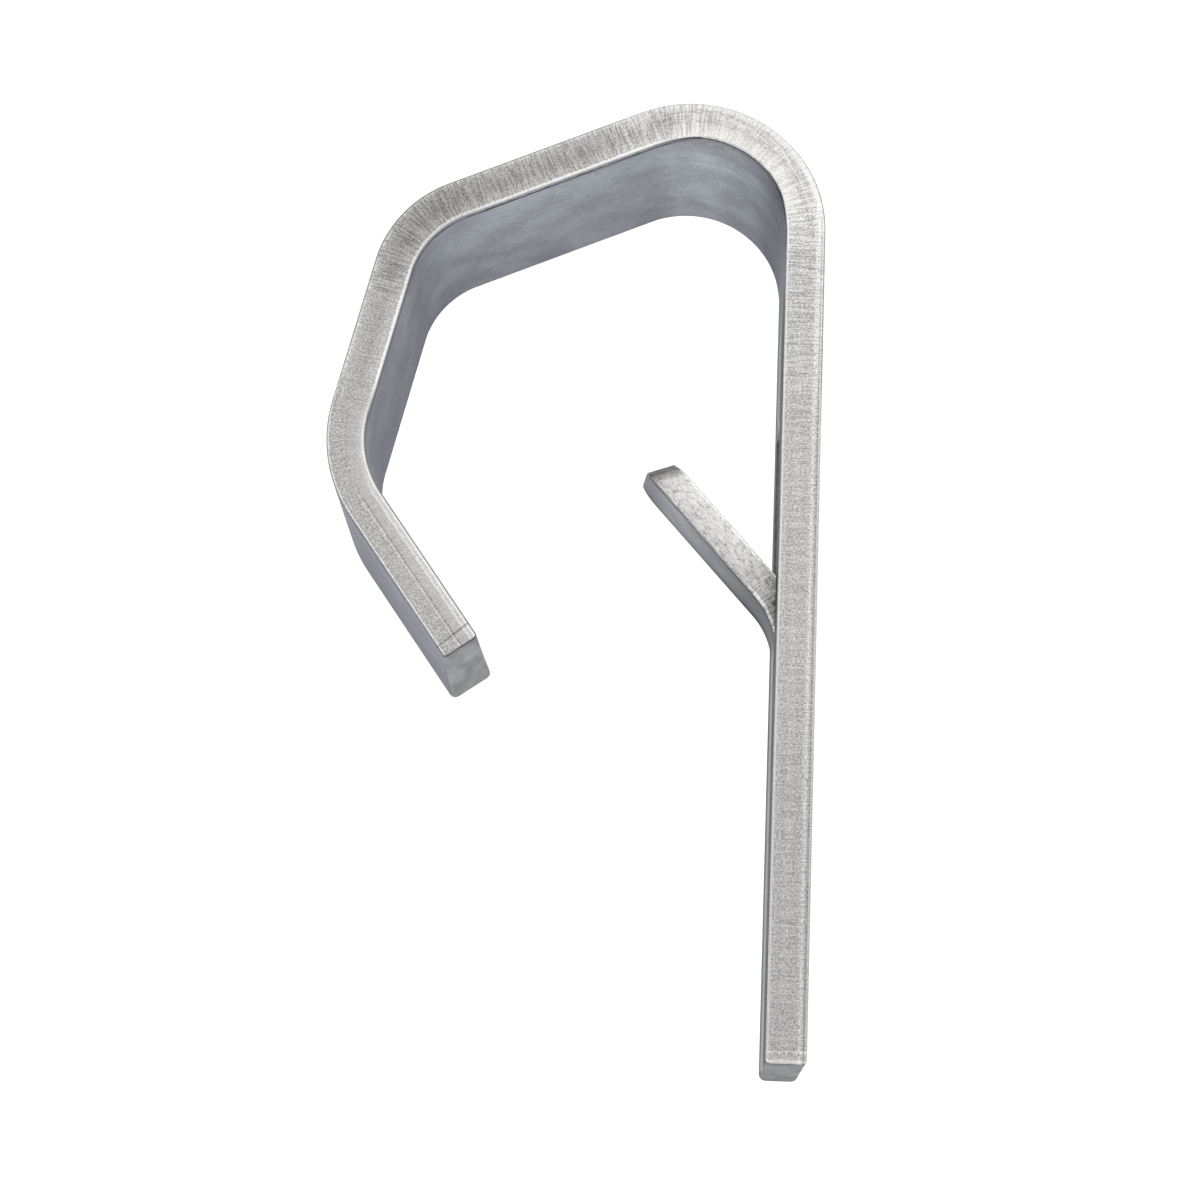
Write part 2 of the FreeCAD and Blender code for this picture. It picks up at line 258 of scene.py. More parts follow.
def in_window(point):
    return (WINDOW_FOOT < point.y < WINDOW_TOP and WINDOW_LOW < point.z < WINDOW_HIGH
            and point.x > -THICKNESS - 0.1)


def window_top_corner(a, b):
    return (abs(a.y - WINDOW_TOP) < CLOSE and abs(b.y - WINDOW_TOP) < CLOSE and abs(a.x - b.x) > 1
            and a.x > -THICKNESS - 0.1 and WINDOW_LOW - CLOSE < a.z < WINDOW_HIGH + CLOSE)


punched = [face for face in clip.faces if in_window(face.calc_center_median())]
rim = dict.fromkeys(edge for face in punched for edge in face.edges)
bmesh.ops.delete(clip, geom=punched, context="FACES")
bmesh.ops.bridge_loops(clip, edges=[edge for edge in rim if edge.is_valid])
bmesh.ops.recalc_face_normals(clip, faces=clip.faces[:])
round_over(clip, ridges(clip, window_top_corner), PUNCH_CORNER, 8)

# The tab: the tongue between the two slits, still one with the leg at its root. It was pushed out of
# the window round a 9.5 mm radius, and drawn thinner on the way. Its tip is cut at a slant, with
# rounded corners, and worn at the near one.
TAB_WIDTH = 9.5
TAB_LOW = (WIDTH - TAB_WIDTH) / 2
TAB_HIGH = TAB_LOW + TAB_WIDTH
TAB_THIN = 3.7
TAB_RADIUS = 9.5
TAB_LEAN = math.radians(42.1)
TAB_RUN = 21.5
TAB_SLANT = math.radians(25.0)
TAB_STEPS = 14
TIP = TAB_RUN - 3
TIP_CORNER = 2.5
TIP_WEAR = 1.5
WEAR_DRAW = 0.33
BACK_RIM = 0.12
FRONT_RIM = 0.3
tip_back = TAB_THIN * math.tan(TAB_SLANT)
tab_root = TAB_LEAN * (TAB_RADIUS + THICKNESS / 2)

# The tab's upper face was part of the leg's back. It turns out on the one arc that touches both.
tab_centre = Vector((-THICKNESS - TAB_RADIUS, WINDOW_FOOT, 0))
tab_across = heading(TAB_LEAN)
tab_along = heading(TAB_LEAN + math.pi / 2)
tab_under_end = tab_centre + tab_across * TAB_RADIUS + tab_along * TAB_RUN
tab_over_end = tab_under_end + tab_across * TAB_THIN - tab_along * tip_back
tab_back_height = tab_over_end.y + tab_over_end.x / math.tan(TAB_LEAN)
tab_over_radius = (tab_back_height - WINDOW_FOOT) / math.tan(TAB_LEAN / 2)


def tab_reach(angle):
    """How far the tab's upper face lies from the root bend's centre."""
    flat = (TAB_RADIUS + TAB_THIN) / math.cos(TAB_LEAN - angle)
    off = tab_over_radius + tab_centre.x
    curved = -off * math.cos(angle) + math.sqrt(tab_over_radius ** 2 - (off * math.sin(angle)) ** 2)
    over_start = Vector((-tab_over_radius, WINDOW_FOOT, 0)) + tab_across * tab_over_radius - tab_centre
    return curved if angle < math.atan2(over_start.y, over_start.x) else flat


def root_wall(face):
    centre = face.calc_center_median()
    return (abs(centre.y - WINDOW_FOOT) < CLOSE and abs(face.normal.y) > 0.9
            and WINDOW_LOW < centre.z < WINDOW_HIGH)


def tab_depth(point):
    """Where a point lies in the tab: how far along it, and how far out from the root bend's centre."""
    out = point - tab_centre
    angle = math.atan2(out.y, out.x)
    if angle < TAB_LEAN:
        return angle * (TAB_RADIUS + THICKNESS / 2), out.xy.length
    return tab_root + out.dot(tab_along), out.dot(tab_across)


def on_tab(point):
    return (TAB_LOW - CLOSE < point.z < TAB_HIGH + CLOSE and point.y > WINDOW_FOOT - CLOSE
            and (point - tab_centre).dot(tab_along) < TAB_RUN + 0.1
            and TAB_RADIUS - 0.6 < tab_depth(point)[1] < TAB_RADIUS + THICKNESS + 0.1)


def tip_corner(a, b):
    """One of the tip's two upright corners, which run through the tab's thickness."""
    at_tip = min((a - tab_centre).dot(tab_along), (b - tab_centre).dot(tab_along)) > TIP
    at_side = abs(a.z - b.z) < CLOSE and abs(a.z - WIDTH / 2) > TAB_WIDTH / 2 - CLOSE
    return on_tab(a) and on_tab(b) and at_tip and at_side


def tab_rim(a, b):
    return on_tab(a) and on_tab(b) and max(a.y, b.y) > WINDOW_FOOT + CLOSE


def back_rim(a, b):
    return tab_rim(a, b) and min(tab_depth(a)[1], tab_depth(b)[1]) > TAB_RADIUS + 2.2


root = [face for face in clip.faces if root_wall(face)]
for height in (TAB_LOW, TAB_HIGH):
    around = dict.fromkeys(part for face in root for part in (face, *face.edges, *face.verts))
    bmesh.ops.bisect_plane(clip, geom=list(around), plane_co=(0, 0, height), plane_no=UP)
    root = [face for face in clip.faces if root_wall(face)]
tongue = [face for face in root if TAB_LOW < face.calc_center_median().z < TAB_HIGH]
tongue_edges = [edge for face in tongue for edge in face.edges]
tongue_points = [vert for face in tongue for vert in face.verts]
before = set(clip.verts)
end = run_bend(clip, tongue + tongue_edges + tongue_points, tab_centre, TAB_LEAN, TAB_STEPS)
for vert in new_points(clip, before):
    out = vert.co - tab_centre
    height = out.z
    out.z = 0
    if out.length > TAB_RADIUS + 1:
        vert.co = tab_centre + out.normalized() * tab_reach(math.atan2(out.y, out.x)) + UP * height
end = run_straight(clip, end, tab_along * TAB_RUN)
for vert in points_of(end):
    if (vert.co - tab_centre).dot(tab_across) > TAB_RADIUS + 1:
        vert.co -= tab_along * tip_back
bmesh.ops.recalc_face_normals(clip, faces=clip.faces[:])
round_over(clip, ridges(clip, tip_corner), TIP_CORNER, 8)
round_over(clip, ridges(clip, back_rim), BACK_RIM, 2)
round_over(clip, ridges(clip, lambda a, b: tab_rim(a, b) and not back_rim(a, b)), FRONT_RIM, 3)
for vert in clip.verts:
    out = vert.co - tab_centre
    if on_tab(vert.co) and out.dot(tab_along) > TIP:
        worn = TIP_WEAR * ease(out.z, TAB_LOW + 3, TAB_HIGH - 1)
        inside = worn - (TAB_RUN - out.dot(tab_along)) - (out.dot(tab_across) - TAB_RADIUS)
        if inside > 0:
            vert.co += (tab_across - tab_along) * (inside * WEAR_DRAW)
bmesh.ops.recalc_face_normals(clip, faces=clip.faces[:])

# Each point of the mesh knows its place in the bar before it was bent, in millimetres: how far along
# the bar, how deep in its thickness and how far across its width. The finishes follow that place, and
# each face gets the one that its side of the bar has.
DEPTH_SLACK = 0.05
DEPTH_WEIGHT = 3
STRIP_LENGTH = STRIP[-1]["along"] + STRIP[-1]["length"]
ROLLED, SHEARED, CUT_END, TORN = range(4)
EDGE_TILT = 0.35
WALL_TILT = 0.5
END_TILT = 0.6
BACK_TILT = 0.2
FRONT_TILT = 0.3
TIP_FACE = TAB_RUN - 4
FOOT_FACE = 0.9
LIP_FACE = STRIP_LENGTH - 1.8


def bar_place(point):
    """A point's place in the unbent bar, from the stretch of the bar that it misses least."""
    if on_tab(point) and point.x < -CLOSE and point.y <= WINDOW_TOP - CLOSE:
        far, reach = tab_depth(point)
        return Vector((WINDOW_FOOT + far, TAB_RADIUS + THICKNESS - reach, point.z))
    best, place = math.inf, None
    for part in STRIP:
        if part["kind"] == "straight":
            out = point - part["start"]
            far = out.dot(heading(part["way"]))
            deep = out.dot(heading(part["way"] + math.pi / 2))
            miss = max(-far, far - part["length"], 0)
        else:
            out = point - part["centre"]
            turned = math.atan2(out.y, out.x) - part["way"] + math.pi / 2
            turned = (turned + math.pi) % (2 * math.pi) - math.pi
            far = turned / part["turn"] * part["length"]
            span = part["bend"]["outer"] - bend_reach(part["bend"], turned - part["turn"] / 2)
            deep = (part["bend"]["outer"] - out.xy.length) * THICKNESS / max(span, 0.1)
            miss = max(-turned, turned - part["turn"], 0) * part["bend"]["outer"]
        miss += max(-deep - DEPTH_SLACK, deep - THICKNESS - DEPTH_SLACK, 0) * DEPTH_WEIGHT
        if miss < best:
            best, place = miss, Vector((part["along"] + far, deep, point.z))
    return place


def tab_finish(face, middle, place):
    """The tab's tip is cut, its sides are torn and its broad faces are rolled."""
    if face.normal.dot(tab_along) > END_TILT and (middle - tab_centre).dot(tab_along) > TIP_FACE:
        return CUT_END
    side_tilt = BACK_TILT if place.y < 3 else FRONT_TILT
    return TORN if abs(face.normal.z) > side_tilt else ROLLED


def strip_finish(face, middle, place):
    """The long edges are sheared, the window's walls torn, the two ends cut and the rest rolled."""
    level = WINDOW_LOW - CLOSE < middle.z < WINDOW_HIGH + CLOSE
    in_leg = -THICKNESS < middle.x < 0 and WINDOW_FOOT - CLOSE < middle.y < WINDOW_TOP + CLOSE
    if abs(face.normal.z) > EDGE_TILT and not level:
        return SHEARED
    if level and in_leg and abs(face.normal.x) < WALL_TILT:
        return TORN
    at_foot = place.x < FOOT_FACE and face.normal.y < -END_TILT
    at_lip_end = place.x > LIP_FACE and face.normal.dot(lip_way) > END_TILT
    return CUT_END if at_foot or at_lip_end else ROLLED


places = clip.verts.layers.float_vector.new("bar_place")
for vert in clip.verts:
    vert[places] = bar_place(vert.co)
for face in clip.faces:
    face.smooth = True
    middle = face.calc_center_median()
    place = sum((vert[places] for vert in face.verts), Vector()) / len(face.verts)
    tab_face = on_tab(middle) and (middle.x < -THICKNESS + 0.5 or in_window(middle))
    face.material_index = (tab_finish if tab_face else strip_finish)(face, middle, place)

# The finished bar is moved from its drawing place, with the foot's back corner at the origin, to
# where the clip lies, and from millimetres to metres.
LYING_PLACE = Vector((29.892, -59.306, 0))
MM = 0.001
bmesh.ops.translate(clip, verts=clip.verts[:], vec=LYING_PLACE)
bmesh.ops.scale(clip, verts=clip.verts[:], vec=Vector((MM, MM, MM)))
clip_mesh = bpy.data.meshes.new("clip")
clip.to_mesh(clip_mesh)
clip.free()


# The finishes are bare steel, and each follows the bar as it was before it was bent. The shared
# fittings below read a point's place in the bar and lay marks on it by that place.
def steel(name, rough):
    material = bpy.data.materials.new(name)
    material.use_nodes = True
    tree = material.node_tree
    shader = tree.nodes["Principled BSDF"]
    shader.inputs["Metallic"].default_value = 1.0
    shader.inputs["Roughness"].default_value = rough
    reader = tree.nodes.new("ShaderNodeAttribute")
    reader.attribute_name = "bar_place"
    return material, tree, shader, reader.outputs["Vector"]


def feed(tree, socket, value):
    if isinstance(value, bpy.types.NodeSocket):
        tree.links.new(value, socket)
    else:
        socket.default_value = value


def maths(tree, kind, *values, clamp=False):
    node = tree.nodes.new("ShaderNodeMath")
    node.operation = kind
    node.use_clamp = clamp
    for socket, value in zip(node.inputs, values):
        feed(tree, socket, value)
    return node.outputs[0]


def plus(tree, *values):
    made = values[0]
    for value in values[1:]:
        made = maths(tree, "ADD", made, value)
    return made


def minus(tree, value, taken):
    return maths(tree, "SUBTRACT", value, taken)


def times(tree, *values):
    """The product. Of masks, it is where all of them are."""
    made = values[0]
    for value in values[1:]:
        made = maths(tree, "MULTIPLY", made, value)
    return made


def without(tree, *mask):
    """One, less where all of these are: a tone times this is dimmed there."""
    return minus(tree, 1.0, times(tree, *mask))


def place_of(tree, place):
    split = tree.nodes.new("ShaderNodeSeparateXYZ")
    feed(tree, split.inputs[0], place)
    return split.outputs[0], split.outputs[1], split.outputs[2]


def grain(tree, place, per_mm, detail=3.0, seed=0.0):
    """Uneven marks, so many to the millimetre along, through and across the bar."""
    stretch = tree.nodes.new("ShaderNodeMapping")
    stretch.inputs["Scale"].default_value = per_mm
    stretch.inputs["Location"].default_value = (seed, seed * 0.7, seed * 1.3)
    feed(tree, stretch.inputs["Vector"], place)
    noise = tree.nodes.new("ShaderNodeTexNoise")
    noise.inputs["Scale"].default_value = 1.0
    noise.inputs["Detail"].default_value = detail
    noise.inputs["Roughness"].default_value = 0.6
    feed(tree, noise.inputs["Vector"], stretch.outputs["Vector"])
    return noise.outputs[0]


def creases(tree, marks):
    """Nothing along the lines where a grain crosses its middle tone, and more away from them."""
    return maths(tree, "ABSOLUTE", minus(tree, marks, 0.5))


def ramp(tree, value, low, high, to_low=0.0, to_high=1.0):
    node = tree.nodes.new("ShaderNodeMapRange")
    node.interpolation_type = "SMOOTHSTEP"
    feed(tree, node.inputs["Value"], value)
    for name, number in (("From Min", low), ("From Max", high), ("To Min", to_low), ("To Max", to_high)):
        node.inputs[name].default_value = number
    return node.outputs[0]


def fall(tree, value, low, high):
    return ramp(tree, value, low, high, 1.0, 0.0)


def band(tree, value, low, high, soft):
    """One between two places, fading to nothing just outside them."""
    return times(tree, ramp(tree, value, low - soft, low), fall(tree, value, high, high + soft))


def tint(tree, amount, one, other):
    mix = tree.nodes.new("ShaderNodeMix")
    mix.data_type = "RGBA"
    feed(tree, mix.inputs[0], amount)
    for socket, value in ((mix.inputs[6], one), (mix.inputs[7], other)):
        feed(tree, socket, (*value, 1.0) if isinstance(value, tuple) else value)
    return mix.outputs[2]


def by_place(tree, value, reach, *stops):
    """A tone read off between stops: each is a place in millimetres and the tone there."""
    node = tree.nodes.new("ShaderNodeValToRGB")
    feed(tree, node.inputs[0], maths(tree, "DIVIDE", value, reach))
    marks = node.color_ramp.elements
    for spot, tone in stops[1:-1]:
        marks.new(spot / reach).color = (tone, tone, tone, 1)
    for mark, (spot, tone) in ((marks[0], stops[0]), (marks[-1], stops[-1])):
        mark.position, mark.color = spot / reach, (tone, tone, tone, 1)
    return node.outputs[0]


def paint(tree, shader, tone, hue):
    colour = tint(tree, tone, (0.0, 0.0, 0.0), hue)
    tree.links.new(colour, shader.inputs["Base Color"])


def relief(tree, shader, height, depth, strength):
    bump = tree.nodes.new("ShaderNodeBump")
    bump.inputs["Distance"].default_value = depth
    bump.inputs["Strength"].default_value = strength
    feed(tree, bump.inputs["Height"], height)
    tree.links.new(bump.outputs["Normal"], shader.inputs["Normal"])


# The two broad faces keep the mill's smooth skin: a dull blue grey with fine lines along the bar,
# which run round each bend with it, and fine cracks and one faint fold inside the crown. A thin dark
# line of painted shadow lies just under the near rim, below the burr.
SKIN_LIGHT = 1.12
CRACKS_END = 160.0
LIP_RIM_START = 168.0
rolled, tree, shader, place = steel("rolled_face", 0.4)
shader.inputs["Specular Tint"].default_value = (0.425, 0.44, 0.47, 1.0)
along, deep, across = place_of(tree, place)
lines = grain(tree, place, (0.09, 2.2, 2.8), 4.0)
clouds = grain(tree, place, (0.16, 0.5, 0.2), 2.0, 7.0)
speckle = grain(tree, place, (2.0, 2.4, 2.4), 2.0, 13.0)
cracking = grain(tree, place, (0.11, 0.4, 0.42), 3.0, 41.0)
inner_face = ramp(tree, deep, 2.0, 3.0)
skin = by_place(tree, along, STRIP_LENGTH,
                (0, 0.26), (97, 0.26), (103, 0.27), (109, 0.26), (115, 0.37), (122, 0.43), (132, 0.37),
                (150, 0.35), (157, 0.33), (166, 0.3), (172, 0.305), (185, 0.295), (192, 0.3),
                (STRIP_LENGTH, 0.32))
# Painted shade: the broad faces are darker toward the lower edge.
lower_edge_painted_shade = by_place(tree, across, WIDTH, (0, 0.72), (8, 0.84), (16, 0.92), (22, 1.0), (WIDTH, 1.0))
skin = times(tree, skin, lower_edge_painted_shade, SKIN_LIGHT)
skin = times(tree, skin, ramp(tree, deep, 1.0, 3.0, 0.96, 1.0))

# Painted shading: the tab's under side is lighter toward its tip and darker along its two rims.
TONGUE_END = WINDOW_TOP + 1.0
on_tongue = times(tree, ramp(tree, along, WINDOW_FOOT, WINDOW_FOOT + 2.0),
                  fall(tree, along, WINDOW_TOP - 0.1, WINDOW_TOP),
                  band(tree, across, TAB_LOW, TAB_HIGH, 0.2))
tongue_painted_shading = by_place(tree, along, TONGUE_END, (0, 1.0), (WINDOW_FOOT, 0.85), (61, 0.88), (66, 1.2),
                       (71, 1.6), (76, 1.65), (TONGUE_END, 1.2))
tongue_rim_painted_shade = plus(tree, fall(tree, across, TAB_LOW, TAB_LOW + 3.0),
                   ramp(tree, across, TAB_HIGH - 1.0, TAB_HIGH - 0.4))
tongue_painted_light = plus(tree, 1.0, times(tree, on_tongue, minus(tree, tongue_painted_shading, 1.0)))
skin = times(tree, skin, minus(tree, tongue_painted_light, times(tree, on_tongue, tongue_rim_painted_shade, 0.7)))

# Painted reflection: the leg's inner face gets a light middle between two dark stretches.
on_leg = times(tree, fall(tree, along, LEG - 12.0, LEG - 2.0), ramp(tree, deep, 3.0, 4.0))
leg_painted_reflection = by_place(tree, across, WIDTH, (0, 0.62), (3.4, 0.6), (6.4, 1.0), (9.4, 1.95), (12.4, 2.2),
                     (15.4, 1.0), (18.4, 0.3), (21.4, 0.24), (23.4, 0.32), (WIDTH, 0.45))
beside_tongue = times(tree, on_leg, without(tree, on_tongue))
skin = tint(tree, beside_tongue, skin, times(tree, skin, leg_painted_reflection))

# Marks of the mill and the brake: lines, clouds and speckle all over, and what the crown's bend left, with
# painted shade and a painted shadow line at the crown's squeezed rim.
marking = plus(tree, ramp(tree, lines, 0.35, 0.65, -0.045, 0.045), ramp(tree, clouds, 0.3, 0.7, -0.13, 0.13),
               ramp(tree, speckle, 0.35, 0.65, -0.06, 0.06), 1.0)
cracks = times(tree, fall(tree, creases(tree, cracking), 0.0, 0.012), ramp(tree, speckle, 0.45, 0.6),
               band(tree, along, LEG + 6.0, CRACKS_END, 8.0), ramp(tree, across, 12.0, 18.0))
flared = band(tree, along, LEG + 8.0, LEG + 22.0, 7.0)
# Painted shade: the crown's inner face is darker just under the upper rim, where the rim is squeezed back.
flare_painted_shade = times(tree, flared, ramp(tree, across, WIDTH - 5.0, WIDTH - 2.0), -0.27)
skin = times(tree, skin, plus(tree, 1.0, flare_painted_shade))
fold_place = plus(tree, across, ramp(tree, lines, 0.3, 0.7, -0.2, 0.2))
fold_place = minus(tree, fold_place, ramp(tree, along, LEG + 4.0, LEG + 24.0, 1.6, 0.0))
fold = times(tree, band(tree, fold_place, 17.9, 18.0, 0.12), flared, inner_face)
# Painted shadow: a thin dark line along the crown's inner face right at the rim, below the burr.
crown_rim_painted_shadow = times(tree, flared, band(tree, across, WIDTH - 0.45, WIDTH - 0.15, 0.1), inner_face)
fold_and_rim_painted_shadow = minus(tree, times(tree, fold, 0.3), times(tree, crown_rim_painted_shadow, 0.75))
skin = times(tree, skin, plus(tree, 1.0, fold_and_rim_painted_shadow))
skin = times(tree, skin, marking, without(tree, cracks, 0.45))
ragged_rim = plus(tree, across, ramp(tree, speckle, 0.3, 0.7, -0.1, 0.1))
# Painted shadow: a thin dark line just under the near rim, below the burr.
burr_painted_shadow = times(tree, band(tree, ragged_rim, WIDTH - 0.95, WIDTH - 0.65, 0.18), inner_face,
                   ramp(tree, clouds, 0.3, 0.6, 0.45, 0.9), without(tree, flared, 0.75))
skin = times(tree, skin, without(tree, burr_painted_shadow, 0.9))
lip_rim = times(tree, band(tree, ragged_rim, WIDTH - 0.5, WIDTH - 0.15, 0.1), fall(tree, deep, 1.0, 2.0),
                ramp(tree, along, LIP_RIM_START, LIP_RIM_START + 8.0))
skin = times(tree, skin, without(tree, lip_rim, 0.5))
paint(tree, shader, skin, tint(tree, on_leg, (0.965, 1.0, 1.075), (0.985, 1.0, 1.025)))
feed(tree, shader.inputs["Roughness"], ramp(tree, clouds, 0.2, 0.8, 0.36, 0.46))
relief(tree, shader, lines, 0.00002, 0.15)

# The two long edges were sheared from wide sheet: bright and fine-grained, with short lines straight
# across where the blade dragged, rings pressed in round the crown, and a bright burr along both rims, made
# brighter with painted highlights.
CROWN_END = STRIP[2]["along"]
SHOULDER_END = STRIP[4]["along"]
ELBOW_END = STRIP[6]["along"]
sheared, tree, shader, place = steel("sheared_edge", 0.45)
along, deep, _ = place_of(tree, place)
tooth = grain(tree, place, (5.0, 3.6, 5.0), 2.0)
curls = grain(tree, place, (1.3, 1.5, 1.3), 3.0, 9.0)
coarse = grain(tree, place, (0.45, 0.5, 0.45), 2.0, 3.0)
drag = grain(tree, place, (4.2, 0.3, 0.3), 2.0, 11.0)
rings = grain(tree, place, (0.5, 3.6, 1.0), 4.0, 19.0)
leg_head = band(tree, along, 84.0, LEG + 4.0, 8.0)
in_crown = band(tree, along, LEG + 5.0, CROWN_END - 3.0, 5.0)
in_arm = band(tree, along, CROWN_END + 3.0, SHOULDER_END + 14.0, 5.0)
past_side = ramp(tree, along, SHOULDER_END + 15.0, SHOULDER_END + 21.0)
in_lip = ramp(tree, along, ELBOW_END - 5.0, ELBOW_END + 1.0)
light = by_place(tree, along, STRIP_LENGTH,
                 (0, 0.49), (30, 0.5), (50, 0.55), (80, 0.585), (98, 0.64), (107, 0.88), (124, 0.82),
                 (130, 0.65), (136, 0.45), (150, 0.4), (158, 0.33), (165, 0.355), (172, 0.46), (184, 0.49),
                 (190, 0.52), (STRIP_LENGTH, 0.51))

# Across the thickness, from the outer rim to the inner one, each stretch of the bar has its own bands,
# with painted highlights and painted shade at the rounded rims; EVEN leaves the tone as it is.
EVEN = 0.5
leg_bands_and_painted_rim_light = by_place(tree, deep, THICKNESS,
                    (0, 0.66), (0.2, 0.66), (0.38, 0.34), (0.6, 0.5), (0.92, 0.68), (1.15, 0.55),
                    (1.4, 0.5), (2.1, 0.485), (2.8, 0.52), (3.6, 0.475), (4.1, 0.51), (4.35, 0.5),
                    (4.5, 0.65), (THICKNESS, 0.86))
arm_bands_and_painted_rim_light = by_place(tree, deep, THICKNESS,
                    (0, 0.4), (0.12, 0.5), (0.3, 0.8), (0.55, 0.62), (0.9, 0.56), (1.4, 0.53), (2.0, 0.5),
                    (2.6, 0.465), (3.0, 0.5), (3.5, 0.56), (4.0, 0.62), (4.25, 0.58), (4.4, 1.0),
                    (THICKNESS, 1.25))
crown_bands_and_painted_rim_light = by_place(tree, deep, THICKNESS,
                      (0, 0.56), (0.2, 0.52), (0.5, 0.55), (0.9, 0.49), (1.1, 0.465), (1.5, 0.51),
                      (2.0, 0.46), (2.3, 0.48), (3.0, 0.52), (4.0, 0.56), (4.4, 0.6), (THICKNESS, 0.65))
lip_bands_and_painted_rim_light = by_place(tree, deep, THICKNESS,
                    (0, 0.26), (0.08, 0.3), (0.17, 0.78), (0.27, 0.78), (0.4, 0.45), (0.6, 0.5),
                    (1.2, 0.5), (2.2, 0.49), (3.0, 0.52), (3.7, 0.54), (4.0, 0.6), (4.3, 0.66), (4.48, 0.95),
                    (4.6, 0.55), (THICKNESS, 0.35))
bands_and_painted_rim_light = tint(tree, in_crown, leg_bands_and_painted_rim_light, crown_bands_and_painted_rim_light)
bands_and_painted_rim_light = tint(tree, in_arm, bands_and_painted_rim_light, arm_bands_and_painted_rim_light)
bands_and_painted_rim_light = tint(tree, past_side, bands_and_painted_rim_light, lip_bands_and_painted_rim_light)

# Fine marks: the blade's tooth and drag, curled scratches, and the rings round the crown.
dragged = band(tree, along, CROWN_END - 4.0, SHOULDER_END + 1.0, 6.0)
more_drag = plus(tree, times(tree, dragged, 0.5), times(tree, leg_head, 0.35))
tooth_marks = times(tree, ramp(tree, tooth, 0.38, 0.62, -0.24, 0.24), without(tree, in_crown, 0.5))
drag_marks = times(tree, ramp(tree, drag, 0.4, 0.6, -0.24, 0.24), plus(tree, 0.4, more_drag))
marks = plus(tree, tooth_marks, drag_marks, ramp(tree, coarse, 0.3, 0.7, -0.08, 0.08))
smooth_side = times(tree, past_side, ramp(tree, deep, 2.35, 2.8))
marks = times(tree, marks, without(tree, smooth_side, 0.45))
curl_line = fall(tree, creases(tree, curls), 0.004, 0.03)
no_curls = plus(tree, times(tree, in_arm, 0.6), times(tree, past_side, ramp(tree, deep, 2.2, 2.8), 0.9))
curl_room = maths(tree, "SUBTRACT", 1.0, no_curls, clamp=True)
marks = minus(tree, marks, times(tree, curl_line, curl_room, 0.16))
at_rims = plus(tree, fall(tree, deep, 0.15, 0.3), ramp(tree, deep, THICKNESS - 0.4, THICKNESS - 0.25))
at_rims = maths(tree, "ADD", at_rims, fall(tree, along, 0.25, 0.5), clamp=True)
marks = times(tree, marks, without(tree, at_rims, 0.65))
ring_marks = times(tree, ramp(tree, rings, 0.46, 0.58), in_crown, band(tree, deep, 0.9, 2.4, 0.4))
marks = minus(tree, marks, times(tree, ring_marks, 0.2))

# Stripes along the edge: two at the leg's head, three on the lip, and one across the bar near each end.
leg_stripe = times(tree, leg_head, band(tree, deep, 0.35, 0.65, 0.2), 0.3)
lip_stripe = times(tree, in_lip, band(tree, deep, 2.2, 2.34, 0.1), 0.26)
lip_dashes = times(tree, in_lip, ramp(tree, tooth, 0.3, 0.5), band(tree, deep, 3.8, 3.95, 0.1), 0.35)
lip_groove = times(tree, in_lip, band(tree, deep, 2.46, 2.6, 0.1), 0.22)
foot_dashes = times(tree, band(tree, along, 1.25, 1.45, 0.12), ramp(tree, tooth, 0.4, 0.55), 0.8)
foot_burr = plus(tree, fall(tree, along, 0.3, 0.6), foot_dashes)
nick_place = plus(tree, along, times(tree, deep, 0.1))
lip_nick = band(tree, nick_place, STRIP_LENGTH - 1.55, STRIP_LENGTH - 1.4, 0.1)
# Painted shade: a dark line along the outer rim at the leg's head.
head_rim_painted_shade = times(tree, leg_head, fall(tree, deep, 0.06, 0.2), 0.55)
stripes = minus(tree, plus(tree, leg_stripe, lip_stripe, lip_dashes), lip_groove)
stripes = plus(tree, stripes, minus(tree, times(tree, foot_burr, 0.55), times(tree, lip_nick, 0.4)))
stripes = minus(tree, stripes, head_rim_painted_shade)
tone = times(tree, light, bands_and_painted_rim_light, plus(tree, 1.0, marks, stripes), 1 / EVEN)
paint(tree, shader, tone, (1.0, 0.99, 0.965))
feed(tree, shader.inputs["Roughness"], ramp(tree, coarse, 0.25, 0.75, 0.4, 0.52))
relief(tree, shader, plus(tree, drag, times(tree, tooth, 0.6)), 0.00006, 0.4)

# The foot and the lip's end are cut across the bar: darker than the long edges, drawn smooth, and
# painted darkest just under the near rim, as painted shade.
cut_end, tree, shader, place = steel("cut_end", 0.42)
shader.inputs["Specular Tint"].default_value = (0.44, 0.44, 0.45, 1.0)
along, _, across = place_of(tree, place)
drawn = grain(tree, place, (0.4, 0.4, 0.16), 2.0, 5.0)
cut_tone_and_painted_shade = by_place(tree, across, WIDTH, (0, 0.33), (1.5, 0.46), (8, 0.49), (18, 0.52), (23, 0.49),
                     (WIDTH, 0.47))
cut_tone_and_painted_shade = times(tree, cut_tone_and_painted_shade, ramp(tree, drawn, 0.3, 0.7, 0.62, 0.94),
                  ramp(tree, along, 40.0, 60.0, 0.79, 0.97))
# Painted shade: darker just under the near rim.
cut_tone_and_painted_shade = times(tree, cut_tone_and_painted_shade, ramp(tree, across, WIDTH - 1.0, WIDTH - 0.4, 1.0, 0.3))
paint(tree, shader, cut_tone_and_painted_shade, (0.99, 1.0, 1.015))

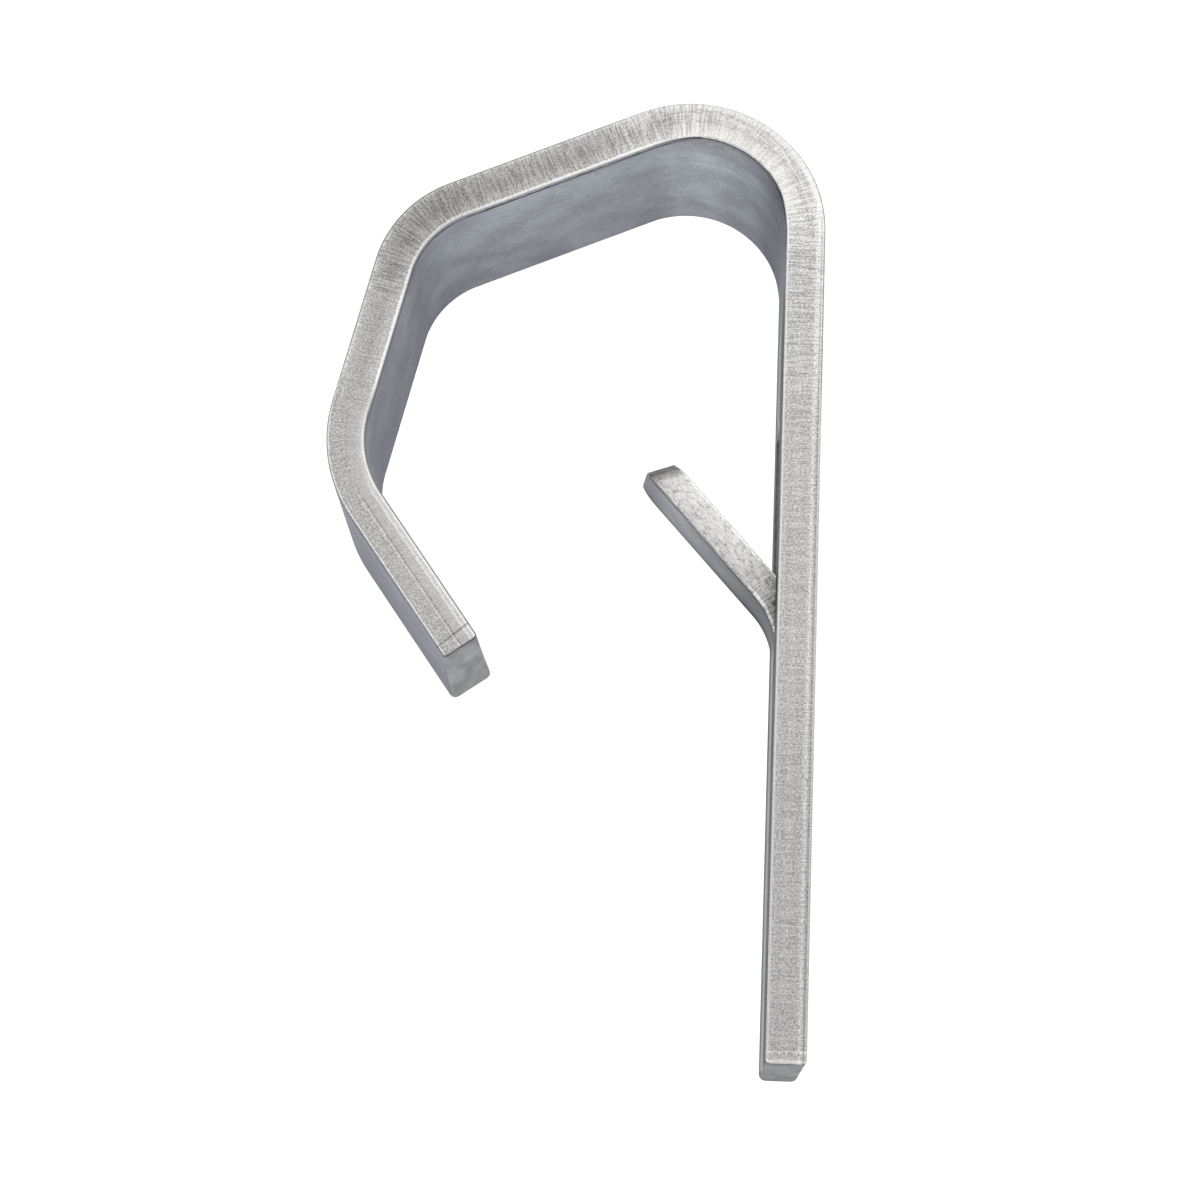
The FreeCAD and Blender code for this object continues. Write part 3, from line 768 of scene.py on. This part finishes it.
# The tab's sides and the window's walls are where the punch tore the bar: bright, with short ragged
# marks across the break. They are darker at the root, and painted darker at the tip as painted shade, where
# the side turns round the tip's corner.
TAB_END = WINDOW_FOOT + tab_root + TAB_RUN
torn, tree, shader, place = steel("torn_side", 0.38)
along, deep, _ = place_of(tree, place)
ridged = creases(tree, grain(tree, place, (0.6, 1.4, 0.8), 6.0, 23.0))
fine = grain(tree, place, (1.5, 3.4, 2.4), 3.0, 2.0)
gate = grain(tree, place, (0.5, 0.9, 0.5), 2.0, 51.0)
pull = grain(tree, place, (3.6, 0.5, 1.0), 2.0, 61.0)
tears = times(tree, fall(tree, ridged, 0.003, 0.018), ramp(tree, gate, 0.37, 0.5))
pull_lines = times(tree, ramp(tree, pull, 0.48, 0.6),
                   fall(tree, along, WINDOW_FOOT + 6.0, WINDOW_FOOT + 15.0))
torn_tone_and_painted_shade = by_place(tree, along, TAB_END,
                      (0, 0.5), (WINDOW_FOOT + 1, 0.36), (WINDOW_FOOT + 5, 0.43), (WINDOW_FOOT + 9, 0.58),
                      (TAB_END - 6, 0.66), (TAB_END - 3, 0.58), (TAB_END - 1.5, 0.45), (TAB_END, 0.33))
tear_shade = plus(tree, times(tree, tears, 0.72), times(tree, pull_lines, 0.42))
torn_tone_and_painted_shade = times(tree, torn_tone_and_painted_shade, ramp(tree, fine, 0.35, 0.65, 0.9, 1.14),
                   ramp(tree, deep, 1.5, 4.5, 1.12, 0.96),
                   maths(tree, "SUBTRACT", 1.0, tear_shade, clamp=True))
root_burr = times(tree, fall(tree, along, WINDOW_FOOT + 8.0, WINDOW_FOOT + 11.0),
                  ramp(tree, deep, 4.25, 4.38))
# Painted highlight: a light line along the tab side's back rim near the root; the root burr beside it is
# real.
back_rim_painted_highlight = times(tree, fall(tree, deep, 1.15, 1.45),
                   ramp(tree, along, WINDOW_FOOT, WINDOW_FOOT + 8.0))
burr_and_painted_highlight = plus(tree, times(tree, root_burr, 1.1), times(tree, back_rim_painted_highlight, 0.9))
paint(tree, shader, times(tree, torn_tone_and_painted_shade, plus(tree, 1.0, burr_and_painted_highlight)), (1.0, 0.99, 0.97))
relief(tree, shader, plus(tree, ridged, times(tree, fine, 0.3)), 0.0001, 0.4)

for material in (rolled, sheared, cut_end, torn):
    clip_mesh.materials.append(material)
bent_clip = bpy.data.objects.new("bent_clip", clip_mesh)
bpy.context.scene.collection.objects.link(bent_clip)
weighted = bent_clip.modifiers.new("flat faces stay flat", "WEIGHTED_NORMAL")
weighted.keep_sharp = True
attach(bent_clip, "root")
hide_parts("retainer_clip")

# The floor is a plain white sheet that the clip lies on, wide enough to fill the view. It shines a
# little of its own light, so that it stays white under the clip.
sheet = bmesh.new()
bmesh.ops.create_grid(sheet, x_segments=1, y_segments=1, size=1.5)
floor_mesh = bpy.data.meshes.new("floor")
sheet.to_mesh(floor_mesh)
sheet.free()
white = bpy.data.materials.new("white sheet")
white.use_nodes = True
white_shader = white.node_tree.nodes["Principled BSDF"]
white_shader.inputs["Base Color"].default_value = (0.6, 0.6, 0.6, 1)
white_shader.inputs["Roughness"].default_value = 0.9
white_shader.inputs["Emission Color"].default_value = (1, 1, 1, 1)
white_shader.inputs["Emission Strength"].default_value = 0.85
floor_mesh.materials.append(white)
floor = bpy.data.objects.new("floor", floor_mesh)
bpy.context.scene.collection.objects.link(floor)

# The light is soft: a wide white panel overhead and an even white surround. The picture is shown
# without any film look, so that white stays white.
surround = bpy.data.worlds.new("surround")
surround.use_nodes = True
surround.node_tree.nodes["Background"].inputs["Color"].default_value = (1, 1, 1, 1)
surround.node_tree.nodes["Background"].inputs["Strength"].default_value = 0.6
bpy.context.scene.world = surround
panel_data = bpy.data.lights.new("panel", "AREA")
panel_data.shape = "RECTANGLE"
panel_data.size = 1.2
panel_data.size_y = 0.9
panel_data.energy = 2.4
panel = bpy.data.objects.new("panel", panel_data)
panel.location = (0.0, 0.25, 1.2)
panel.rotation_euler = (math.radians(-12), 0, 0)
bpy.context.scene.collection.objects.link(panel)
bpy.context.scene.view_settings.view_transform = "Standard"
